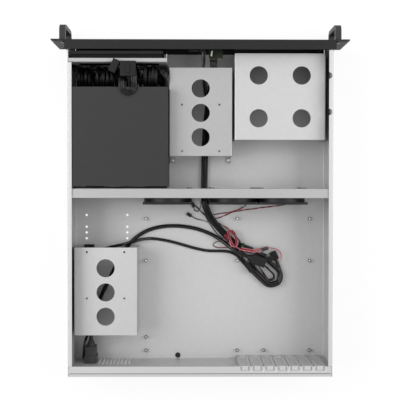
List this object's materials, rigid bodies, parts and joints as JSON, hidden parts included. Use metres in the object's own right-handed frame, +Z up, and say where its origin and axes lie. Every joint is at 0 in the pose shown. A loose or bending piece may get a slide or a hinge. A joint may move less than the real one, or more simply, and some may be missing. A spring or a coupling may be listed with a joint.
{
  "type": "rackmount server case",
  "caption": "Two-unit rackmount server case with its lid off: drive cages, a fan wall, a power supply, card-slot covers, handles and loose internal leads.",
  "frame": {"origin": "on the underside, midway between the sides, level with the front face of the panel", "axes": "+Z up; +Y from the front panel to the rear; +X to the side that carries the power supply"},
  "size_m": [0.4826, 0.5732, 0.0993],
  "materials": {
    "black_paint": "fine matt powder coat",
    "black_plastic": "moulded",
    "black_screw": "black zinc",
    "board_green": "solder mask",
    "brass_plate": "zinc plated",
    "bright_screw": "zinc plated",
    "cable_black": "matt PVC sheath",
    "cable_red": "PVC sheath",
    "galvanised": "satin zinc-coated sheet",
    "handle_metal": "black anodised",
    "psu_paint": "smooth matt paint",
    "rubber_black": "matt",
    "socket_steel": "plated"
  },
  "bodies": {
    "case": {"bay_cover": "black_plastic", "board_connector": "black_plastic", "cable_tie": "black_plastic", "cage_screws": "bright_screw", "crossbar": "galvanised", "data_sockets": "socket_steel", "drive_coil": "cable_black", "drive_lead": "cable_black", "drive_plug": "rubber_black", "drive_socket": "black_plastic", "fan_frame_1": "black_plastic", "fan_frame_2": "black_plastic", "fan_frame_3": "black_plastic", "fan_lead_1": "cable_red", "fan_lead_2": "cable_red", "fan_lead_3": "cable_red", "fan_screws": "black_screw", "filter_frame": "black_plastic", "floor_plug": "rubber_black", "front_drive_cage": "galvanised", "front_loom": "cable_black", "front_panel": "black_paint", "front_wall": "galvanised", "handle_left": "handle_metal", "handle_right": "handle_metal", "handle_screws": "black_screw", "io_board": "board_green", "io_plate": "galvanised", "loom_connector": "rubber_black", "mains_inlet": "black_plastic", "mains_lead": "cable_black", "mains_plug": "rubber_black", "psu_base": "psu_paint", "psu_cover": "psu_paint", "psu_fan_frame": "black_plastic", "psu_socket": "black_plastic", "psu_switch": "black_plastic", "rear_drive_cage": "galvanised", "rear_panel": "galvanised", "rear_rail": "galvanised", "side_connector": "black_plastic", "slot_covers": "galvanised", "slot_panel": "galvanised", "spare_connector": "black_plastic", "spare_lead": "cable_black", "standoffs": "brass_plate", "supply_lead_1": "cable_black", "supply_lead_2": "cable_black", "supply_lead_3": "cable_black", "switch_lead": "cable_red", "switches": "black_plastic", "tray": "galvanised", "wide_drive_cage": "galvanised"},
    "fan_rotor_1": {"fan_rotor_1": "black_plastic"},
    "fan_rotor_2": {"fan_rotor_2": "black_plastic"},
    "fan_rotor_3": {"fan_rotor_3": "black_plastic"},
    "psu_fan_rotor": {"psu_fan_rotor": "black_plastic"},
    "psu_rocker": {"psu_rocker": "black_plastic"},
    "power_button": {"power_button": "black_plastic"},
    "reset_button": {"reset_button": "black_plastic"}
  },
  "joints": [
    {"name": "fan_1_spin", "type": "hinge", "parent": "case", "child": "fan_rotor_1", "pos_m": [0.0539, 0.254, 0.0415], "axis": [0, 1, 0], "continuous": true},
    {"name": "fan_2_spin", "type": "hinge", "parent": "case", "child": "fan_rotor_2", "pos_m": [-0.0545, 0.254, 0.0415], "axis": [0, 1, 0], "continuous": true},
    {"name": "fan_3_spin", "type": "hinge", "parent": "case", "child": "fan_rotor_3", "pos_m": [-0.135, 0.254, 0.0415], "axis": [0, 1, 0], "continuous": true},
    {"name": "psu_fan_spin", "type": "hinge", "parent": "case", "child": "psu_fan_rotor", "pos_m": [0.0976, 0.2229, 0.0436], "axis": [0, 1, 0], "continuous": true},
    {"name": "psu_switch_rock", "type": "hinge", "parent": "case", "child": "psu_rocker", "pos_m": [0.1778, 0.2339, 0.0582], "axis": [1, 0, 0], "range_deg": [0, 16]},
    {"name": "power_press", "type": "slide", "parent": "case", "child": "power_button", "axis": [0, 1, 0], "range_m": [0, 0.0015], "stiffness_N_per_m": 400},
    {"name": "reset_press", "type": "slide", "parent": "case", "child": "reset_button", "axis": [0, 1, 0], "range_m": [0, 0.0015], "stiffness_N_per_m": 400}
  ]
}
